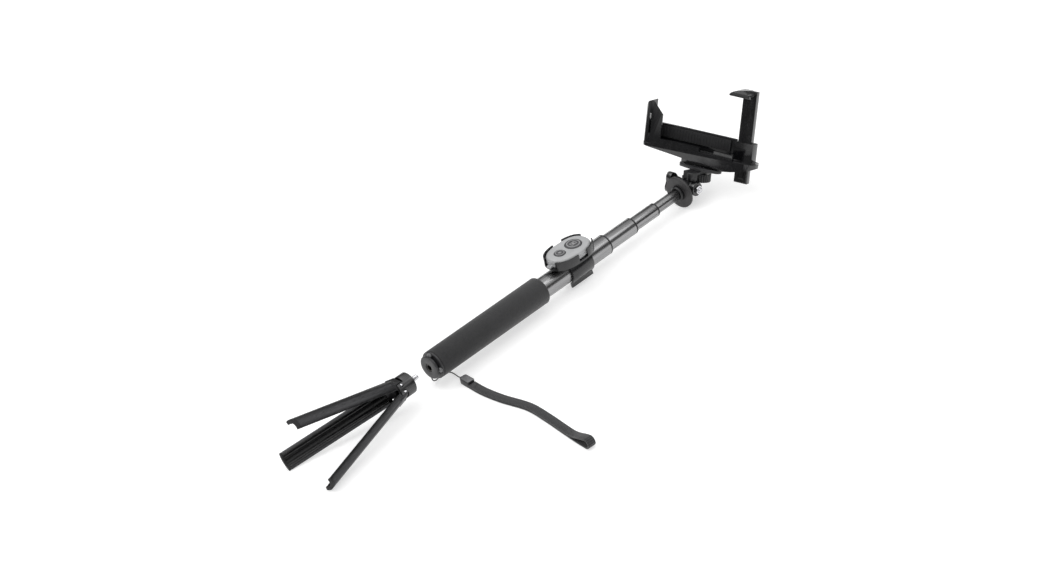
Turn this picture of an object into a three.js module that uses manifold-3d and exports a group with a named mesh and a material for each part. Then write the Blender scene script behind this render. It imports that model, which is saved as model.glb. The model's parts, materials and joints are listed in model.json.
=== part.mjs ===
// Telescopic hand stick with a phone cradle, a clip-on remote, a wrist strap and a screw-in tripod.
// Lengths are millimetres. The stick frame has X along the stick towards the head, Z up,
// and its origin at the centre of the end cap's outer face.
import * as THREE from 'three';
import { mergeVertices } from 'three/addons/utils/BufferGeometryUtils.js';
import Module from 'manifold-3d';

const wasm = await Module();
wasm.setup();

// ---- driving dimensions ----
const GAP = 0.3;
const ROUND = 32;
const SMALL = 18;

const CAP_DISC_R = 13.8;
const CAP_DISC_T = 2.6;
const CAP_WAIST_R = 8.6;
const CAP_FLANGE_X = 5.4;
const CAP_PLUG_END = 22;
const INSERT_R = 4.6;
const INSERT_BORE_R = 3.35;
const INSERT_END = 15.7;

const FOAM = { x0: 7.5, x1: 173, rIn: 12.8, rOut: 16.4 };
const TUBES = [
  { name: 'outer_tube', x0: 7.5, x1: 279, rOut: 12.5, rIn: 11.5 },
  { name: 'tube_2', x0: 77, x1: 324.6, rOut: 10.3, rIn: 9.5 },
  { name: 'tube_3', x0: 122, x1: 364.6, rOut: 8.5, rIn: 7.7 },
  { name: 'tube_4', x0: 167, x1: 414, rOut: 6.75, rIn: 6.05 },
];
const LIP_T = 2.2;
const SLEEVE_LEN = 8;
const GUIDE_LEN = 6;
const GROOVE_W = 2.2;
const GROOVE_D = 0.35;

const DISC = { x0: 409, x1: 412.5, r: 19.5 };
const COLLAR_BACK = { x0: 404.6, x1: 408.7, r: 9.2 };
const TILT_X = 425.75;
const TILT_DEG = 20.9;
const PAN_DEG = 11.2;
const LUG_HALF = 5.5;
const CHEEK_OUT = 8.2;
const KNUCKLE_R = 7.4;
const STEM = { x0: -2.5, x1: 3.5, y0: -9.7, y1: 6.7, rib: 4.4 };
const BOLT_R = 2.9;
const PAN_OFFSET = 19.4;
const WHEEL = { r: 13.6, w0: 5.2, w1: 14.8 };
const SHELF = { w0: 15.1, w1: 18.3 };
const PLATE = { half: 27.5, depth: 12, w0: 18.6, w1: 22.4, screwU: 20.5, recess: 20.6 };
const STUD_R = 3.1;

const BASE = { u0: -77.3, u1: 71.5, v0: -16, v1: 9.4, keel: 22.8, floor: 38.5, rim: 41 };
const ARM = { top: 89.2, lip: -53.3, inner: -72.9 };
const SLOT_V = [-5, 5.6];
const LEDGE_TOP = 46.1;
const POST = { u0: 42, u1: 59.1, v0: -13, v1: -6.6, w0: 11.6, w1: 122.1 };
const GUIDE = { u0: 38, u1: 63, v1: -4.7, top: 60 };
const HOOK = { u0: 32, w0: 117.9, w1: 122.1, lipV: 6.2, lipW: 115 };

const CLIP = { x0: 213, x1: 247, rIn: 12.8, rOut: 15, halfDeg: 146 };
const REMOTE = { x: 225, half: 29, wide: 18.5, z0: 17.7, split: 21.8, z1: 27, wall: 1.2 };
const BIG_KEY = { x: 234, r: 10 };
const SMALL_KEY = { x: 212, r: 6.7 };

const TRIPOD = { face: -30, root: -42, fingers: -51, r: 12.75, rIn: 9.75, len: 132 };
const LEG_PIN = { x: -46, r: 9, rad: 1.4 };
const SLOT_HALF = 6.4;
const KNUCKLE_HALF = 6;
const SPLAY_DEG = 14;
const LEG_ANGLES = [90, 210, 330];

const STRAP = { width: 10, ply: 2.1, loopLen: 40, loopTall: 12 };
const STRING_R = 0.7;

// ---- solids ----
const V = (x, y, z) => new THREE.Vector3(x, y, z);
const rad = THREE.MathUtils.degToRad;

function solid(source) {
  const geo = source.clone();
  geo.deleteAttribute('normal');
  geo.deleteAttribute('uv');
  const merged = mergeVertices(geo, 1e-4);
  const p = merged.attributes.position.array;
  const raw = merged.index.array;
  const tri = [];
  let vol = 0;
  for (let i = 0; i < raw.length; i += 3) {
    const [a, b, c] = [raw[i], raw[i + 1], raw[i + 2]];
    if (a === b || b === c || a === c) {
      continue;
    }
    tri.push(a, b, c);
    const [A, B, C] = [a, b, c].map((k) => V(p[3 * k], p[3 * k + 1], p[3 * k + 2]));
    vol += A.dot(B.cross(C));
  }
  if (vol < 0) {
    tri.reverse();
  }
  const mesh = new wasm.Mesh({
    numProp: 3,
    vertProperties: new Float32Array(p),
    triVerts: new Uint32Array(tri),
  });
  return new wasm.Manifold(mesh);
}

// A frame is an origin with three unit axes.
function frame(o, x, y, z) {
  return new THREE.Matrix4().makeBasis(x, y, z).setPosition(o);
}

const STICK = frame(V(0, 0, 0), V(1, 0, 0), V(0, 1, 0), V(0, 0, 1));
const AXIAL = frame(V(0, 0, 0), V(0, 1, 0), V(0, 0, 1), V(1, 0, 0));

// Closed ring turned about the frame's Z axis; the profile lists [z, r].
function turned(profile, segs = ROUND, m = AXIAL) {
  const pts = profile.map(([z, r]) => new THREE.Vector2(r, z));
  if (pts[0].x !== 0 || pts[pts.length - 1].x !== 0) {
    pts.push(pts[0].clone());
  }
  const geo = new THREE.LatheGeometry(pts, segs);
  geo.applyMatrix4(new THREE.Matrix4().makeBasis(V(1, 0, 0), V(0, 0, 1), V(0, -1, 0)));
  return solid(geo.applyMatrix4(m));
}

function ring(z0, z1, rIn, rOut, segs = ROUND, m = AXIAL) {
  return turned([[z0, rIn], [z0, rOut], [z1, rOut], [z1, rIn]], segs, m);
}

function rod(z0, z1, r, segs = SMALL, m = AXIAL, c = 0) {
  return turned([[z0, 0], [z0, r - c], [z0 + c, r], [z1 - c, r], [z1, r - c], [z1, 0]], segs, m);
}

// Flat shape in the frame's XY plane, from z0 to z1.
function prism(points, z0, z1, m, holes = []) {
  const shape = new THREE.Shape(points.map(([x, y]) => new THREE.Vector2(x, y)));
  for (const h of holes) {
    shape.holes.push(new THREE.Path(h.map(([x, y]) => new THREE.Vector2(x, y))));
  }
  const geo = new THREE.ExtrudeGeometry(shape, { depth: z1 - z0, bevelEnabled: false, steps: 1 });
  geo.translate(0, 0, z0);
  return solid(geo.applyMatrix4(m));
}

function block(x0, x1, y0, y1, z0, z1, m = STICK) {
  const geo = new THREE.BoxGeometry(x1 - x0, y1 - y0, z1 - z0);
  geo.translate((x0 + x1) / 2, (y0 + y1) / 2, (z0 + z1) / 2);
  return solid(geo.applyMatrix4(m));
}

function arc(cx, cy, r, a0, a1, n) {
  const out = [];
  for (let i = 0; i <= n; i += 1) {
    const a = rad(a0 + ((a1 - a0) * i) / n);
    out.push([cx + r * Math.cos(a), cy + r * Math.sin(a)]);
  }
  return out;
}

function union(...list) {
  return list.reduce((a, b) => a.add(b));
}

function minus(a, ...cuts) {
  return cuts.reduce((s, c) => s.subtract(c), a);
}

// ---- node list ----
const group = new THREE.Group();
group.name = 'selfie_stick';
const pieces = [];

function node(name, body, color, rough = 0.6, metal = 0, loose = false) {
  const out = body.getMesh();
  const geo = new THREE.BufferGeometry();
  geo.setAttribute('position', new THREE.BufferAttribute(new Float32Array(out.vertProperties), 3));
  geo.setIndex(new THREE.BufferAttribute(new Uint32Array(out.triVerts), 1));
  const mat = new THREE.MeshStandardMaterial({ color, roughness: rough, metalness: metal });
  mat.flatShading = true;
  const mesh = new THREE.Mesh(geo, mat);
  mesh.name = name;
  pieces.push({ mesh, loose });
  group.add(mesh);
}

const BLACK = 0x161618;
const GREY = 0x3a3a3c;
const METAL = 0x6c6f74;
const STEEL = 0xc8cacc;

// ---- handle ----
function capPost(deg) {
  const c = V(0, 12.2 * Math.cos(rad(deg)), 12.2 * Math.sin(rad(deg)));
  const m = frame(c, V(0, 1, 0), V(0, 0, 1), V(1, 0, 0));
  return rod(CAP_DISC_T - 0.6, CAP_FLANGE_X + 0.6, 2.3, 16, m);
}

const capBody = turned([
  [0, 0], [0, CAP_DISC_R - 0.8], [0.8, CAP_DISC_R], [CAP_DISC_T, CAP_DISC_R - 0.4],
  [CAP_DISC_T, CAP_WAIST_R], [CAP_FLANGE_X, CAP_WAIST_R], [CAP_FLANGE_X, 15.6],
  [CAP_FLANGE_X + 0.8, 16.3], [7.2, 16.3], [7.2, 11.2], [CAP_PLUG_END, 11.2], [CAP_PLUG_END, 0],
]);
const capPosts = [0, 90, 180, 270].map(capPost);
const capBore = rod(-1, INSERT_END + GAP, INSERT_R + GAP);
node('end_cap', minus(union(capBody, ...capPosts), capBore), GREY, 0.5);
node('thread_insert', ring(0.4, INSERT_END, INSERT_BORE_R, INSERT_R, SMALL), 0xb08d4a, 0.35, 1);

node('foam_grip', turned([
  [FOAM.x0, FOAM.rIn], [FOAM.x0, FOAM.rOut - 1], [FOAM.x0 + 1, FOAM.rOut],
  [FOAM.x1 - 1.6, FOAM.rOut], [FOAM.x1 - 0.4, FOAM.rOut - 0.6], [FOAM.x1, FOAM.rOut - 1.8],
  [FOAM.x1, FOAM.rIn],
]), GREY, 0.95);

// ---- telescopic tubes ----
function grooved(t) {
  const outline = [];
  for (const quarter of [0, 90, 180, 270]) {
    const half = (Math.asin(GROOVE_W / 2 / t.rOut) * 180) / Math.PI;
    outline.push(...arc(0, 0, t.rOut - GROOVE_D, quarter - half, quarter + half, 1));
    outline.push(...arc(0, 0, t.rOut, quarter + half, quarter + 90 - half, 7));
  }
  const bore = arc(0, 0, t.rIn, 0, 360, 32).slice(0, 32);
  return prism(outline, t.x0, t.x1, AXIAL, [bore]);
}

TUBES.forEach((t, i) => {
  node(t.name, i > 1 ? grooved(t) : ring(t.x0, t.x1, t.rIn, t.rOut), METAL, 0.35, 1);
});

for (let i = 0; i < 3; i += 1) {
  const t = TUBES[i];
  const inner = TUBES[i + 1].rOut + GAP;
  const mouth = t.x1 + 0.2;
  const sleeve = t.rIn - GAP;
  node(`mouth_bush_${i + 1}`, turned([
    [mouth - SLEEVE_LEN, inner], [mouth - SLEEVE_LEN, sleeve], [mouth, sleeve], [mouth, t.rOut],
    [mouth + LIP_T - 0.5, t.rOut], [mouth + LIP_T, t.rOut - 0.5], [mouth + LIP_T, inner],
  ], 32), BLACK, 0.5);
  const tail = TUBES[i + 1].x0 + 0.5;
  node(`tail_guide_${i + 2}`, ring(tail, tail + GUIDE_LEN, TUBES[i + 1].rOut + 0.2, sleeve, 32),
    BLACK, 0.5);
}

// ---- tilt head ----
const top4 = TUBES[3].rOut + GAP;
node('hub_collar', turned([
  [COLLAR_BACK.x0, top4], [COLLAR_BACK.x0, COLLAR_BACK.r - 1.2],
  [COLLAR_BACK.x0 + 1.4, COLLAR_BACK.r], [COLLAR_BACK.x1, COLLAR_BACK.r], [COLLAR_BACK.x1, top4],
], 32), BLACK, 0.5);
node('platform_disc', turned([
  [DISC.x0, top4], [DISC.x0, DISC.r - 0.5], [DISC.x0 + 0.5, DISC.r], [DISC.x1 - 0.5, DISC.r],
  [DISC.x1, DISC.r - 0.5], [DISC.x1, top4],
]), 0x4a4a4c, 0.6);

const TILT_UP = V(Math.sin(rad(TILT_DEG)), 0, Math.cos(rad(TILT_DEG)));
const TILT_FWD = V(Math.cos(rad(TILT_DEG)), 0, -Math.sin(rad(TILT_DEG)));
const TILT_O = V(TILT_X, 0, 0);
// Z of this frame lies on the tilt axis, from the nut side to the knob side.
const TILT_AXIS = frame(TILT_O, TILT_UP, TILT_FWD.clone().negate(), V(0, 1, 0));
const NECK = frame(TILT_O, TILT_FWD, V(0, 1, 0), TILT_UP);
const PAN_O = TILT_O.clone().addScaledVector(TILT_FWD, PAN_OFFSET);
const WHEEL_F = frame(PAN_O, TILT_FWD, V(0, 1, 0), TILT_UP);
const E1 = V(0, -1, 0).multiplyScalar(Math.cos(rad(PAN_DEG)))
  .addScaledVector(TILT_FWD, Math.sin(rad(PAN_DEG)));
const E3 = V(0, 0, 0).crossVectors(E1, TILT_UP);
// Cradle frame: X to the right, Y to the front, Z up, seen from the handle.
const CRADLE = frame(PAN_O, E1, E3.clone().negate().negate(), TILT_UP);
// Same frame with the flat shapes drawn as width by height and extruded to the front.
const CRADLE_FACE = frame(PAN_O, E1, TILT_UP, E3.clone().negate());

const foot = turned([
  [DISC.x1 + GAP, 0], [DISC.x1 + GAP, 13], [DISC.x1 + 1.8, 13], [DISC.x1 + 4.4, 9.4],
  [DISC.x1 + 4.4, 0],
], 32);
const lugShape = [...arc(TILT_X, 0, KNUCKLE_R, -75, 75, 12), [DISC.x1 + 3, 8.6], [DISC.x1 + 3, -8.6]];
const XZ = frame(V(0, 0, 0), V(1, 0, 0), V(0, 0, 1), V(0, -1, 0));
const lug = prism(lugShape, -LUG_HALF, LUG_HALF, XZ);
const boltHole = rod(-30, 30, BOLT_R + GAP, SMALL, TILT_AXIS);
const socket = rod(DISC.x1 - 2, TUBES[3].x1 + GAP, top4, 32);
node('hinge_base', minus(union(foot, lug), boltHole, socket), 0x5a5a5d, 0.5);

const cheekShape = [
  ...arc(0, 0, KNUCKLE_R, 180, 360, 14), [KNUCKLE_R, 1.6], [STEM.x1, 7.6], [STEM.x1, 12],
  [STEM.x0, 12], [STEM.x0, 9], [-KNUCKLE_R, 3],
];
const NECK_SIDE = frame(TILT_O, TILT_FWD, TILT_UP, V(0, -1, 0));
const cheeks = prism(cheekShape, -CHEEK_OUT, CHEEK_OUT, NECK_SIDE);
const forkGap = block(-14, 14, -5.8, 5.8, -12, 9.2, NECK);
const stemPost = block(STEM.x0, STEM.x1, STEM.y0, STEM.y1, 9.2, SHELF.w1, NECK);
const shelfShape = [
  [STEM.x0, STEM.y1], [STEM.x0, STEM.y0], [STEM.x1 + 2, STEM.y0],
  ...arc(PAN_OFFSET, 0, CHEEK_OUT, -90, 90, 12), [STEM.x1 + 2, STEM.y1],
];
const shelf = prism(shelfShape, SHELF.w0, SHELF.w1, NECK);
const ribAt = TILT_O.clone().addScaledVector(TILT_FWD, STEM.x0)
  .add(V(0, STEM.y0 + STEM.rib, 0));
const rib = turned([
  [9.4, 0], [9.4, STEM.rib], [SHELF.w1 - 1, STEM.rib], [SHELF.w1, STEM.rib - 1], [SHELF.w1, 0],
], 20, frame(ribAt, TILT_FWD, V(0, 1, 0), TILT_UP));
const panHole = rod(15, 25, STUD_R + 0.4, SMALL, WHEEL_F);
const ribTrim = rod(WHEEL.w0 - 1, WHEEL.w1 + 0.3, WHEEL.r + 0.4, ROUND, WHEEL_F);
const neckBody = union(minus(cheeks, forkGap), stemPost, shelf, rib);
node('hinge_neck', minus(neckBody, boltHole, panHole, ribTrim), 0x2a2a2c, 0.5);

const boss = turned([
  [-15.4, BOLT_R + GAP], [-15.4, 7.6], [-14.6, 8.4], [-8.5, 8.4], [-8.5, BOLT_R + GAP],
], 32, TILT_AXIS);
node('tilt_boss', boss, BLACK, 0.4);
const hex = arc(0, 0, 5.4, 0, 300, 5);
const nutHole = arc(0, 0, BOLT_R + GAP, 0, 360, 16).slice(0, 16);
node('tilt_nut', prism(hex, -18.6, -15.8, TILT_AXIS, [nutHole]), STEEL, 0.2, 1);
node('tilt_bolt', rod(-21.1, 19.4, BOLT_R, SMALL, TILT_AXIS, 0.5), STEEL, 0.25, 1);

const KNOB_TURN = 28;

function knobShape() {
  const out = [];
  const n = 48;
  for (let i = 0; i < n; i += 1) {
    const a = (2 * Math.PI * i) / n;
    const r = 11 + 2.5 * Math.cos(3 * (a - rad(KNOB_TURN)));
    out.push([r * Math.cos(a), r * Math.sin(a)]);
  }
  return out;
}

const knobCore = turned([[8.6, 0], [8.6, 6.2], [10, 7], [21, 8.6], [21, 0]], SMALL, TILT_AXIS);
const knobTop = prism(knobShape(), 20.1, 27, TILT_AXIS);
const knobDome = rod(27, 28.4, 7.4, SMALL, TILT_AXIS, 0.7);
const knobBore = rod(7, 19.4 + GAP, BOLT_R + GAP, SMALL, TILT_AXIS);
node('tilt_knob', minus(union(knobCore, knobTop, knobDome), knobBore), BLACK, 0.4);

function knurled(r, teeth, depth) {
  const out = [];
  for (let i = 0; i < teeth; i += 1) {
    const a = (360 * i) / teeth;
    const s = 360 / teeth;
    out.push(...arc(0, 0, r, a, a + s * 0.5, 1));
    out.push(...arc(0, 0, r - depth, a + s * 0.62, a + s * 0.88, 1));
  }
  return out;
}

const wheelHole = arc(0, 0, STUD_R + GAP, 0, 360, 20).slice(0, 20);
node('thumb_wheel', prism(knurled(WHEEL.r, 28, 0.8), WHEEL.w0, WHEEL.w1, WHEEL_F, [wheelHole]),
  BLACK, 0.5);
node('cradle_screw', rod(WHEEL.w0 + 0.4, 31, STUD_R, SMALL, WHEEL_F, 0.6), STEEL, 0.25, 1);

const plateOutline = [
  ...arc(PLATE.half - 7, 0, 7, -60, 60, 8), ...arc(0, -6, PLATE.depth + 6, 65, 115, 10),
  ...arc(-PLATE.half + 7, 0, 7, 120, 240, 8), ...arc(0, 6, PLATE.depth + 6, 245, 295, 10),
];
const plateHole = rod(15, 30, STUD_R + GAP, SMALL, CRADLE);
const screwFrames = [-PLATE.screwU, PLATE.screwU].map((u) => {
  const o = PAN_O.clone().addScaledVector(E1, u);
  return frame(o, E1, E3, TILT_UP);
});
const screwHoles = screwFrames.map((m) => union(
  rod(15, 30, 1.6, 16, m), rod(15, PLATE.recess, 2.9, 20, m),
));
node('mount_plate', minus(prism(plateOutline, PLATE.w0, PLATE.w1, CRADLE), plateHole, ...screwHoles),
  0x4a4a4c, 0.5);
screwFrames.forEach((m, i) => {
  node(`plate_screw_${i + 1}`, turned([
    [PLATE.w0 + 0.1, 0], [PLATE.w0 + 0.1, 1.8], [PLATE.w0 + 0.7, 2.5], [PLATE.recess - 0.3, 2.5],
    [PLATE.recess - 0.3, 1.3], [31, 1.3], [31, 0],
  ], 16, m), STEEL, 0.3, 1);
});

// ---- phone cradle ----
const boat = [
  [BASE.u0, 36], [BASE.u0 + 2.3, 34.2], [-66, 33.1], [33, 24.1], [44, 25.8], [55, 28.2],
  [66, 31.3], [BASE.u1, 33.4], [BASE.u1, BASE.floor], [BASE.u0, BASE.floor],
];
const keelBody = prism(boat, -BASE.v1, -BASE.v0, CRADLE_FACE);
const plan = [
  ...arc(BASE.u0 + 5, BASE.v1 - 5, 5, 90, 180, 4), ...arc(BASE.u0 + 5, BASE.v0 + 5, 5, 180, 270, 4),
  ...arc(BASE.u1 - 11, BASE.v0 + 11, 11, 270, 360, 8),
  ...arc(BASE.u1 - 11, BASE.v1 - 11, 11, 0, 90, 8),
];
const planBody = prism(plan, 10, BASE.floor + 40, CRADLE);
const keel = block(-24, 24, -10, 5, BASE.keel, 34, CRADLE);
const baseBlock = union(keelBody.intersect(planBody), keel);

const rimF = block(-60, 45, SLOT_V[1], BASE.v1, BASE.floor - 1, BASE.rim, CRADLE);
const ledgeL = block(-53, 0, SLOT_V[1], BASE.v1, BASE.floor - 1, LEDGE_TOP, CRADLE);
const ledgeR = block(20, 45, SLOT_V[1], BASE.v1, BASE.floor - 1, LEDGE_TOP, CRADLE);
const backRest = block(-73.5, 40, -9, SLOT_V[0] - 0.4, BASE.floor - 1, 62, CRADLE);
const armOutline = [
  [ARM.inner, -12], [ARM.inner, 4.4], [ARM.inner + 1.5, 6], [ARM.lip - 0.7, 6], [ARM.lip, 6.8],
  [ARM.lip, 8.6], [ARM.lip - 0.8, BASE.v1], ...arc(BASE.u0 + 6, BASE.v1 - 6, 6, 90, 180, 6),
  [BASE.u0, -12],
];
const armBody = prism(armOutline, BASE.floor - 3, ARM.top, CRADLE);
const armFront = [
  [-80, 30], [-50, 30], [-50, 72], [-54.6, 75.4], [-61, 82], [-66.6, 87.6], [-70, ARM.top],
  [-73.4, 87.8], [-76, 84], [-78.5, 79], [-80, 75],
];
const armMask = prism(armFront, -20, 20, CRADLE_FACE);
const lightSlot = block(-70, -67, 5, 14, 50, 74, CRADLE);
const guideBox = block(GUIDE.u0, GUIDE.u1, BASE.v0, GUIDE.v1, BASE.floor - 1, GUIDE.top, CRADLE);
const arm = minus(armBody.intersect(armMask), lightSlot);
const postWell = block(
  POST.u0 - GAP, POST.u1 + GAP, POST.v0 - GAP, POST.v1 + GAP, 10, GUIDE.top + 2, CRADLE,
);
const stem = rod(15, 31.5, STUD_R + 0.5, SMALL, CRADLE);
const pilots = screwFrames.map((m) => rod(15, 31.5, 1.6, 16, m));
const baseAll = union(baseBlock, rimF, ledgeL, ledgeR, backRest, guideBox, arm);
node('cradle_base', minus(baseAll, postWell, stem, ...pilots), BLACK, 0.25);

node('floor_pad', block(-58, 36, -4.6, 5.2, BASE.floor + 0.2, BASE.floor + 1.4, CRADLE), 0x202022, 0.9);
node('arm_pad', block(-72.6, -71.4, -4.6, 3.4, 42, 72, CRADLE), 0x202022, 0.9);
node('back_pad', block(-66, 34, -5.1, -4.1, 46, 60, CRADLE), 0x202022, 0.9);

const postBar = block(POST.u0, POST.u1, POST.v0, POST.v1, POST.w0, POST.w1 - 1, CRADLE);
const postFlute = block(
  POST.u0 + 5.5, POST.u1 - 5.5, POST.v1 - 0.9, POST.v1 + 2, POST.w0 + 6, 112, CRADLE,
);
const hookSide = [
  [POST.v0, 112], [POST.v0, HOOK.w1 - 3], [POST.v0 + 2.4, HOOK.w1], [HOOK.lipV + 1, HOOK.w1],
  [HOOK.lipV + 3.4, HOOK.w1 - 2.4], [HOOK.lipV + 3.8, HOOK.w1 - 6], [HOOK.lipV + 2.8, HOOK.lipW],
  [HOOK.lipV + 0.6, HOOK.lipW], [HOOK.lipV, HOOK.w0], [POST.v1, HOOK.w0], [POST.v1, 112],
];
const SIDE = frame(PAN_O, E3, TILT_UP, E1);
const hookBody = prism(hookSide, HOOK.u0, POST.u1, SIDE);
const hookTrim = [
  [HOOK.u0 - 0.2, 100], [HOOK.u0 - 0.2, HOOK.w1 - 5.4], [HOOK.u0 + 1.2, HOOK.w1 - 3.6],
  [HOOK.u0 + 4, HOOK.w1 - 1.8], [HOOK.u0 + 8, HOOK.w1 - 0.5], [HOOK.u0 + 12, HOOK.w1 + 1],
  [POST.u1 - 9.5, HOOK.w1 + 1], [POST.u1 - 6.4, HOOK.w1 - 0.7], [POST.u1 - 3.6, HOOK.w1 - 2.4],
  [POST.u1 - 1.5, HOOK.w1 - 4.8], [POST.u1 - 0.3, HOOK.w1 - 7.6], [POST.u1 + 0.2, HOOK.w1 - 10],
  [POST.u1 + 0.2, 100],
];
const hookHead = hookBody.intersect(prism(hookTrim, -20, 20, CRADLE_FACE));
node('clamp_post', minus(union(postBar, hookHead), postFlute), BLACK, 0.25);
node('hook_pad', block(40, 57, -4.6, 5.4, HOOK.w0 - 1.5, HOOK.w0 - 0.3, CRADLE), 0x202022, 0.9);

// ---- clip and remote ----
const bandA = 90 - CLIP.halfDeg;
const bandB = 90 + CLIP.halfDeg;
function polar(r, a) {
  return [r * Math.cos(rad(a)), r * Math.sin(rad(a))];
}
const band = [
  ...arc(0, 0, CLIP.rIn, bandA, bandB, 28), polar(CLIP.rIn + 1.4, bandB + 6),
  polar(CLIP.rIn + 6, bandB + 10), polar(CLIP.rIn + 6.6, bandB + 3), polar(CLIP.rOut + 0.6, bandB - 3),
  ...arc(0, 0, CLIP.rOut, bandB - 6, bandA + 6, 28), polar(CLIP.rOut + 0.6, bandA + 3),
  polar(CLIP.rIn + 6.6, bandA - 3), polar(CLIP.rIn + 6, bandA - 10), polar(CLIP.rIn + 1.4, bandA - 6),
];
node('tube_clip', prism(band, CLIP.x0, CLIP.x1, AXIAL), 0x2c2c2e, 0.4);

function oval(a, b, n = 36) {
  const out = [];
  for (let i = 0; i < n; i += 1) {
    const t = (2 * Math.PI * i) / n;
    const c = Math.cos(t);
    const s = Math.sin(t);
    const p = 2 / 2.5;
    out.push([a * Math.sign(c) * Math.abs(c) ** p, b * Math.sign(s) * Math.abs(s) ** p]);
  }
  return out;
}

const REM = frame(V(REMOTE.x, 0, 0), V(1, 0, 0), V(0, 1, 0), V(0, 0, 1));
const cupOuter = oval(REMOTE.half + 2.6, REMOTE.wide + 2.6);
const cupInner = oval(REMOTE.half + 1.2, REMOTE.wide + 1.2);
const cupFloor = prism(cupOuter, 15.3, 17.3, REM);
const cupWall = minus(prism(cupOuter, 15.3, 26.2, REM), prism(cupInner, 15.4, 27, REM));
// Four corner tabs are left standing: the gaps are at the two sides and the two ends.
const wallGaps = [
  block(REMOTE.x - 4, REMOTE.x + 10, -30, 30, 17.3, 27, STICK),
  block(REMOTE.x - 40, REMOTE.x + 40, -8.5, 8.5, 17.3, 27, STICK),
];
const cupRing = minus(cupWall, ...wallGaps);
node('remote_cup', union(cupFloor, cupRing), 0x2c2c2e, 0.4);

function shellTaper(a, b, z0, z1, inset, round) {
  return solid(new THREE.BufferGeometry().copy(taperGeo(a, b, z0, z1, inset, round)));
}

function taperGeo(a, b, z0, z1, inset, round = 2) {
  const shape = new THREE.Shape(oval(a - inset, b - inset).map(([x, y]) => new THREE.Vector2(x, y)));
  const geo = new THREE.ExtrudeGeometry(shape, {
    depth: z1 - z0 - inset, bevelEnabled: true, bevelThickness: inset, bevelSize: inset,
    bevelSegments: round, steps: 1,
  });
  geo.translate(0, 0, z0);
  return geo.applyMatrix4(REM);
}

const R = REMOTE;
const topFull = shellTaper(R.half, R.wide, R.split - 3.4, R.z1, 3.4, 5)
  .intersect(block(R.x - 40, R.x + 40, -30, 30, R.split, R.z1 + 1));
const botFull = shellTaper(R.half, R.wide, R.z0 + 1, R.split + 2, 1)
  .intersect(block(R.x - 40, R.x + 40, -30, 30, R.z0, R.split - 0.15));
const keyHoles = [BIG_KEY, SMALL_KEY].map((k) => {
  const m = frame(V(k.x, 0, 0), V(1, 0, 0), V(0, 1, 0), V(0, 0, 1));
  return rod(20, 30, k.r + GAP, 36, m);
});
const topVoid = union(
  prism(oval(R.half - R.wall - 0.6, R.wide - R.wall - 0.6), R.split - 1, 23, REM),
  prism(oval(R.half - R.wall - 3.4, R.wide - R.wall - 3.4), 22.9, R.z1 - 1.3, REM),
);
const botVoid = prism(oval(R.half - R.wall - 0.6, R.wide - R.wall - 0.6), R.z0 + 1, R.split + 1, REM);
node('remote_top', minus(topFull, topVoid, ...keyHoles), 0xc9cacc, 0.45);
const eyeM = frame(V(R.x - R.half + 2.2, 0, 0), V(-1, 0, 0), V(0, -1, 0), V(0, 0, 1));
const eye = block(-1, 6.6, -2.6, 2.6, R.z0 + 0.6, R.z0 + 2.8, eyeM);
const eyeHole = rod(R.z0, R.z0 + 4, 1.1, 16,
  frame(V(4.4, 0, 0).applyMatrix4(eyeM), V(1, 0, 0), V(0, 1, 0), V(0, 0, 1)));
node('remote_bottom', minus(union(botFull, eye), botVoid, eyeHole), 0xb4b5b8, 0.45);
[['big_button', BIG_KEY], ['small_button', SMALL_KEY]].forEach(([name, k]) => {
  const m = frame(V(k.x, 0, 0), V(1, 0, 0), V(0, 1, 0), V(0, 0, 1));
  node(name, turned([
    [22.9, 0], [22.9, 1.8], [24, 1.8], [24, k.r + 1.1], [25.3, k.r + 1.1], [25.3, k.r],
    [R.z1 + 0.5, k.r], [R.z1 + 0.9, k.r - 0.7], [R.z1 + 0.9, 0],
  ], 36, m), 0x6e6f73, 0.4);
});
node('circuit_board', block(R.x - 21, R.x + 18, -11, 11, 21.2, 22, STICK), 0x1d5a34, 0.6);
node('coin_cell', rod(R.z0 + 1.3, 20.9, 8, 28, frame(V(R.x, 0, 0), V(1, 0, 0), V(0, 1, 0), V(0, 0, 1)), 0.3),
  STEEL, 0.3, 1);

// ---- tripod ----
function legFrame(deg) {
  const out = V(0, Math.cos(rad(deg)), Math.sin(rad(deg)));
  const side = V(0, 0, 0).crossVectors(V(1, 0, 0), out);
  return { out, side };
}

const collarCore = turned([
  [TRIPOD.fingers, 0], [TRIPOD.fingers, TRIPOD.r], [TRIPOD.face - 0.8, TRIPOD.r],
  [TRIPOD.face, TRIPOD.r - 0.8], [TRIPOD.face, 0],
]);
const slots = LEG_ANGLES.map((deg) => {
  const { out, side } = legFrame(deg);
  return block(TRIPOD.fingers - 2, TRIPOD.root, 0, 16, -SLOT_HALF, SLOT_HALF,
    frame(V(0, 0, 0), V(1, 0, 0), out, side));
});
function pinRod(deg, r, half) {
  const { out, side } = legFrame(deg);
  const o = V(LEG_PIN.x, 0, 0).addScaledVector(out, LEG_PIN.r);
  return rod(-half, half, r, 16, frame(o, V(1, 0, 0), out, side));
}
const pinHoles = LEG_ANGLES.map((deg) => pinRod(deg, LEG_PIN.rad + GAP, 12));
const studHole = rod(TRIPOD.face - 9, TRIPOD.face + 1, STUD_R + GAP);
const hollow = rod(TRIPOD.fingers - 1, TRIPOD.root, 7.6, 32);
node('tripod_collar', minus(collarCore, ...slots, hollow, ...pinHoles, studHole), METAL, 0.35, 1);
node('tripod_stud', rod(TRIPOD.face - 8.6, TRIPOD.face + 12, STUD_R, SMALL, AXIAL, 0.6), STEEL, 0.25, 1);

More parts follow.
